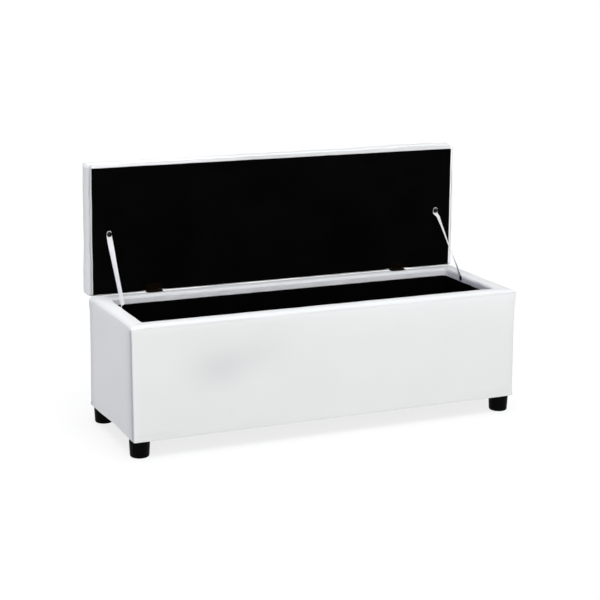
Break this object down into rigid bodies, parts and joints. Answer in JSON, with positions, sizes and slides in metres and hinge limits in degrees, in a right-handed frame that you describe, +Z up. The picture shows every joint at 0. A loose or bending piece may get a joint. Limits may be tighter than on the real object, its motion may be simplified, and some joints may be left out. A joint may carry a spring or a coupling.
{
  "type": "storage bench",
  "caption": "Long upholstered storage bench: a padded box on round feet with a padded lid on butt hinges, held open by straps",
  "frame": {"origin": "on the floor, at the centre of the bounding box of the bench with its lid open", "axes": "+X to the right along the bench's length, +Y to the back where the hinges are, +Z up"},
  "size_m": [1.2, 0.4398, 0.762],
  "materials": {
    "white_upholstery": "satin white coated fabric with a fine grain",
    "black_lining": "black pressed felt lining",
    "dust_cloth": "thin black non-woven cloth",
    "foam": "open-cell foam",
    "plywood": "unfinished plywood",
    "pine": "planed softwood",
    "black_plastic": "black moulded plastic",
    "zinc_steel": "zinc plated",
    "bronze_steel": "dark bronze plated",
    "white_webbing": "white woven webbing"
  },
  "bodies": {
    "box": {"body_cover": "white_upholstery", "dust_cover": "dust_cloth", "dust_staples": "zinc_steel", "floor_board": "plywood", "foot_front_left": "black_plastic", "foot_front_right": "black_plastic", "foot_inserts": "zinc_steel", "foot_rear_left": "black_plastic", "foot_rear_right": "black_plastic", "foot_studs": "zinc_steel", "frame_screws": "zinc_steel", "front_board": "plywood", "front_foam": "foam", "front_rail": "pine", "hinge_body_leaf_left": "bronze_steel", "hinge_body_leaf_right": "bronze_steel", "hinge_body_screws": "bronze_steel", "hinge_pin_left": "bronze_steel", "hinge_pin_right": "bronze_steel", "left_board": "plywood", "left_foam": "foam", "left_rail": "pine", "lining_floor": "black_lining", "lining_front": "black_lining", "lining_left": "black_lining", "lining_rear": "black_lining", "lining_right": "black_lining", "post_front_left": "pine", "post_front_right": "pine", "post_rear_left": "pine", "post_rear_right": "pine", "rear_board": "plywood", "rear_foam": "foam", "rear_rail": "pine", "right_board": "plywood", "right_foam": "foam", "right_rail": "pine", "strap_left": "white_webbing", "strap_right": "white_webbing", "strap_wall_screws": "bronze_steel", "strap_wall_washers": "bronze_steel"},
    "lid": {"lid_board": "plywood", "lid_foam": "foam", "lid_cover": "white_upholstery", "lid_lining": "black_lining", "hinge_lid_leaf_left": "bronze_steel", "hinge_lid_leaf_right": "bronze_steel", "hinge_lid_screws": "bronze_steel", "strap_lid_washers": "bronze_steel", "strap_lid_screws": "bronze_steel"}
  },
  "joints": [
    {"name": "lid_hinge", "type": "hinge", "parent": "box", "child": "lid", "pos_m": [0, 0.1671, 0.375], "axis": [1, 0, 0], "range_deg": [0, 90], "deforming": ["strap_left", "strap_right"]}
  ]
}
